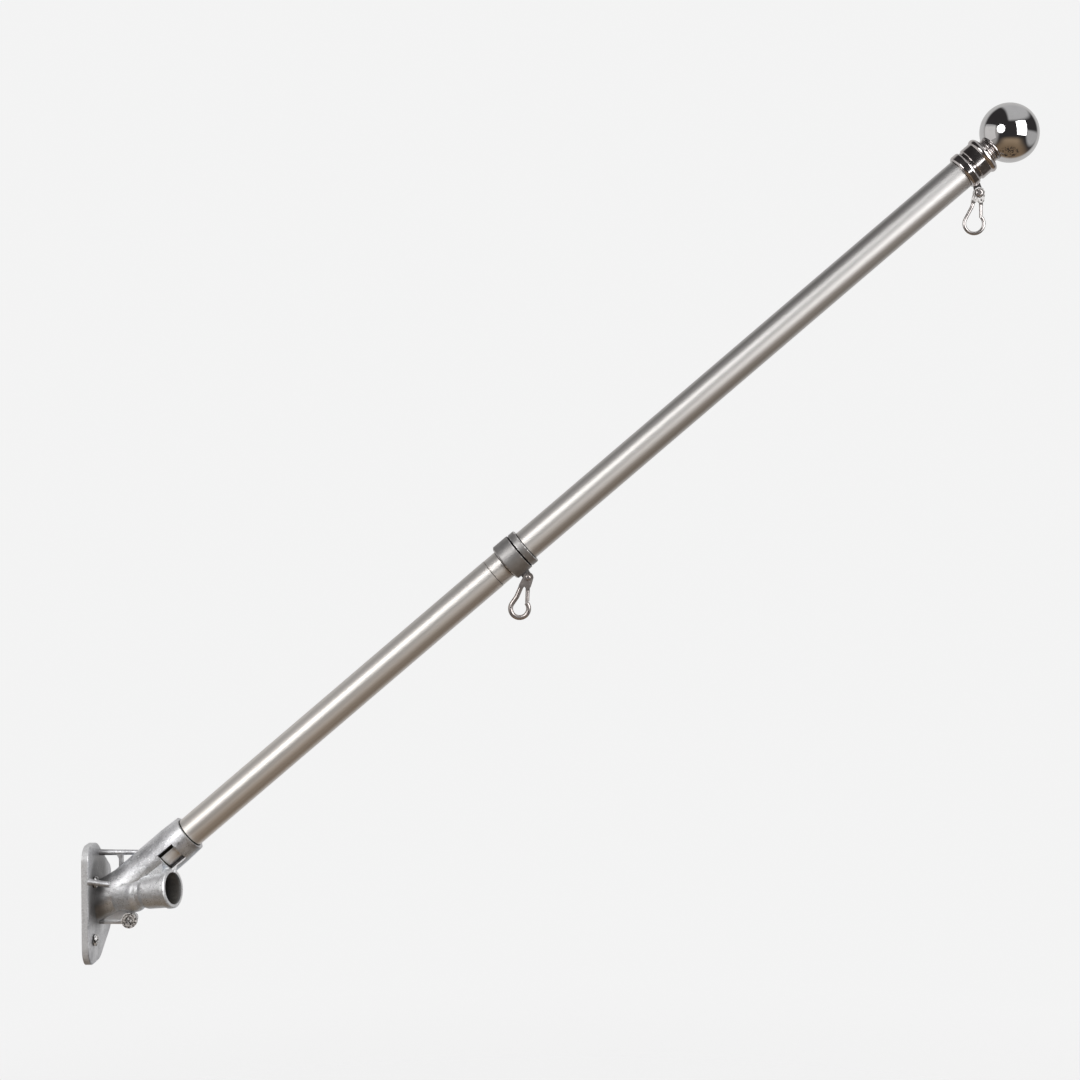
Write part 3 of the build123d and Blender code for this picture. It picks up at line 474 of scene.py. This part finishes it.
def wall_zinc():
    """Zinc wall screw: mottled head, painted shade in a dark line under its rim."""
    material, tree, shader = new_material("zinc_wall")
    x, _, _ = position(tree)
    shadow_and_grime = noise(tree, plain_coordinates(tree), 480.0, 3.0, 0.7)
    pits = rise_of(tree, shadow_and_grime, 0.50, 0.44)
    tint = blend_colour(tree, pits, (0.93, 0.92, 0.91), (0.050, 0.046, 0.043))
    # painted shade under the head's rim
    tint = blend_colour(tree, rise_of(tree, x, 0.0066, 0.0062), tint, SHADOW)

    tree.links.new(tint, shader.inputs["Base Color"])
    tree.links.new(ramp(tree, shadow_and_grime, [(0.3, 0.34), (0.7, 0.18)]), shader.inputs["Roughness"])
    shader.inputs["Metallic"].default_value = 0.60
    tree.links.new(bump(tree, shadow_and_grime, 0.9, 0.0007), shader.inputs["Normal"])
    return material


# ---- which node wears what -----------------------------------------------------------
# the finish of each record slot, then the nodes that differ from their slot
BY_SLOT = {
    "cast_aluminium": cast_aluminium(),
    "anodised_tube": anodised_tube(),
    "finial_chrome": polished(
        "finial_chrome", ((0.64, 0.63, 0.63), (0.70, 0.695, 0.695)), (0.03, 0.06), ripple=0.01),
    "hook_nickel": polished(
        "hook_nickel", ((0.42, 0.38, 0.36), (0.56, 0.515, 0.495)), (0.24, 0.36),
        metal=0.85, ripple=0.05),
    "zinc_screw": wall_zinc(),
}
# painted shade: the spigot is dark, as it shows only through the seams
SPIGOT = polished("spigot_shaded", ((0.10, 0.095, 0.09), (0.17, 0.16, 0.15)), (0.50, 0.60))
TRIM = polished(
    "finial_trim", ((0.50, 0.470, 0.460), (0.64, 0.605, 0.595)), (0.11, 0.19), ripple=0.60)
WORN = polished("finial_chrome_worn", WORN_CHROME, (0.16, 0.26), metal=0.85, ripple=0.04)
BY_NODE = {
    "spin_collar": turned_grey("spin_collar"),
    "stop_ring": turned_grey("stop_ring"),
    "joint_spigot": SPIGOT,
    "finial_base": TRIM,
    "finial_ring": TRIM,
    "thumb_screw": thumb_zinc(),
    "upper_hook": upper_hook_chrome(),
    "upper_gate": WORN,
    "upper_gate_pin": WORN,
    "upper_rivet": WORN,
}
for entry in frame["record"]["subparts"]:
    own = BY_NODE.get(entry["node"])
    dress(entry["node"], own or BY_SLOT[entry["material_slot"]])


# ---- studio --------------------------------------------------------------------------
def studio_world():
    """Pale backdrop for the eye; for the reflections a dim room with pale walls and ceiling
    and a wooden floor. x, y and z are the parts of the direction that is looked in."""
    world = bpy.data.worlds.new("studio")
    bpy.context.scene.world = world
    world.use_nodes = True
    tree = world.node_tree
    tree.nodes.clear()
    out = add(tree, "ShaderNodeOutputWorld")
    seen = add(tree, "ShaderNodeBackground")
    seen.inputs["Color"].default_value = (0.90, 0.90, 0.90, 1.0)
    lit = add(tree, "ShaderNodeBackground")
    place = add(tree, "ShaderNodeTexCoord")
    split = add(tree, "ShaderNodeSeparateXYZ")
    tree.links.new(place.outputs["Generated"], split.inputs["Vector"])
    x, y, z = (split.outputs[axis] for axis in "XYZ")

    dark = (0.040, 0.037, 0.038)
    left_wall = product(tree, rise_of(tree, x, -0.70, -0.86), rise_of(tree, z, 0.42, 0.25))
    right_wall = product(tree, rise_of(tree, x, 0.78, 0.90), rise_of(tree, z, 0.14, 0.0))
    ceiling = product(tree, rise_of(tree, z, 0.55, 0.74), rise_of(tree, x, -0.26, -0.10))
    aside = math_node(tree, "ABSOLUTE", x)
    carpet = product(tree, rise_of(tree, z, -0.32, -0.62), rise_of(tree, aside, 0.84, 0.28))
    room = blend_colour(tree, left_wall, dark, (0.42, 0.405, 0.395))
    room = blend_colour(tree, right_wall, room, (0.48, 0.48, 0.48))
    room = blend_colour(tree, ceiling, room, (0.56, 0.56, 0.565))
    room = blend_colour(tree, carpet, room, (0.36, 0.268, 0.180))
    wood = rise_of(tree, z, -0.55, -0.95)
    room = blend_colour(tree, wood, room, (0.230, 0.162, 0.102))
    clutter = noise(tree, place.outputs["Generated"], 9.0, 3.0, 0.65)
    clutter = product(
        tree, rise_of(tree, clutter, 0.52, 0.56), rise_of(tree, z, -0.84, -0.94))
    room = blend_colour(tree, clutter, room, (0.040, 0.032, 0.026))
    behind = rise_of(tree, y, 0.40, 0.66)
    room = blend_colour(tree, behind, room, (0.62, 0.615, 0.61))

    tree.links.new(room, lit.inputs["Color"])
    rays = add(tree, "ShaderNodeLightPath")
    mix = add(tree, "ShaderNodeMixShader")
    tree.links.new(rays.outputs["Is Camera Ray"], mix.inputs["Fac"])
    tree.links.new(lit.outputs["Background"], mix.inputs[1])
    tree.links.new(seen.outputs["Background"], mix.inputs[2])
    tree.links.new(mix.outputs["Shader"], out.inputs["Surface"])


def softbox(name, place, aim, width, height, power, shape="RECTANGLE"):
    data = bpy.data.lights.new(name, "AREA")
    data.shape = shape
    data.size = width
    data.size_y = height
    data.energy = power
    lamp = bpy.data.objects.new(name, data)
    bpy.context.scene.collection.objects.link(lamp)
    lamp.location = place
    lamp.rotation_euler = (Vector(aim) - Vector(place)).to_track_quat("-Z", "Y").to_euler()
    lamp.visible_camera = False


studio_world()
softbox("window_right", (1.87, -1.35, 0.97), (0.74, 0.0, 0.60), 1.3, 1.7, 36.0)
softbox("round_left", (-0.58, -1.48, 0.91), (0.40, 0.0, 0.35), 1.1, 1.1, 15.0, "DISK")
softbox("wall_glow", (-0.30, 0.0, 0.65), (1.0, 0.0, 0.65), 1.0, 0.9, 0.9)


# ---- floor ---------------------------------------------------------------------------
FLOOR_CENTRE = (0.36, 0.0, -0.42)
FLOOR_RADIUS = 4.0
FADE_START, FADE_END = 0.7, 1.5     # the floor melts into the backdrop between these radii


def floor():
    """Pale disc, seen by the camera alone, about as bright as the backdrop."""
    mesh = bpy.data.meshes.new("floor")
    build = bmesh.new()
    bmesh.ops.create_circle(build, cap_ends=True, segments=96, radius=FLOOR_RADIUS)
    build.to_mesh(mesh)
    build.free()
    item = bpy.data.objects.new("floor", mesh)
    bpy.context.scene.collection.objects.link(item)
    item.location = FLOOR_CENTRE
    material, tree, shader = new_material("floor_pale")
    shader.inputs["Base Color"].default_value = (0.27, 0.27, 0.27, 1.0)
    shader.inputs["Roughness"].default_value = 1.0
    shader.inputs["Emission Color"].default_value = (1.0, 1.0, 1.0, 1.0)
    shader.inputs["Emission Strength"].default_value = 0.71
    place = add(tree, "ShaderNodeTexCoord")
    length = add(tree, "ShaderNodeVectorMath", operation="LENGTH")
    tree.links.new(place.outputs["Object"], length.inputs[0])
    fade = rise_of(tree, length.outputs["Value"], FADE_END, FADE_START)
    tree.links.new(fade, shader.inputs["Alpha"])
    mesh.materials.append(material)
    item.visible_glossy = False
    item.visible_diffuse = False


floor()


# ---- camera --------------------------------------------------------------------------
camera_data = bpy.data.cameras.new("camera")
camera = bpy.data.objects.new("camera", camera_data)
bpy.context.scene.collection.objects.link(camera)
camera_data.sensor_width = 36.0
camera_data.lens = 75.0
camera_data.shift_x = -0.102
camera_data.shift_y = -0.087
camera.location = (0.4536, -1.832, 0.3717)
camera.rotation_euler = (math.radians(90.0), 0.0, 0.0)
bpy.context.scene.camera = camera
bpy.context.scene.view_settings.view_transform = "Standard"
